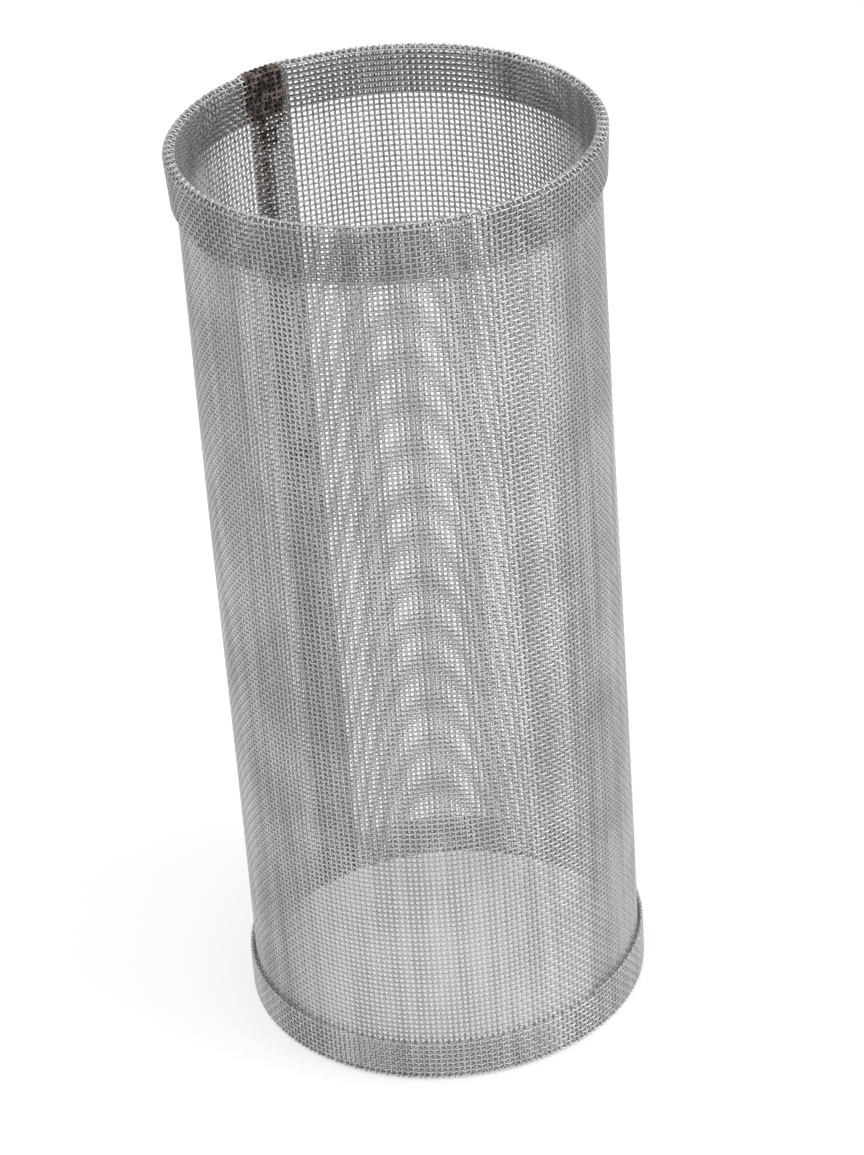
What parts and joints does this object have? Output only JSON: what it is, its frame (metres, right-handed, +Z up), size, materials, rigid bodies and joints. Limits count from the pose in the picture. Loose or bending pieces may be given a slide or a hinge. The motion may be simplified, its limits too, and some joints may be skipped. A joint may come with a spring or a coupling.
{
  "type": "strainer screen",
  "caption": "Open tube of woven steel wire cloth with a folded hem at each end and one welded lap seam, for straining a fluid.",
  "frame": {"origin": "middle of the bottom rim's plane, on the tube's axis", "axes": "+Z up the tube's axis; +Y towards the far side, with the lap seam between +Y and -X"},
  "size_m": [0.0626, 0.0626, 0.1435],
  "materials": {
    "wire_cloth": "satin"
  },
  "bodies": {
    "root": {"strainer_screen": "wire_cloth"}
  },
  "joints": []
}
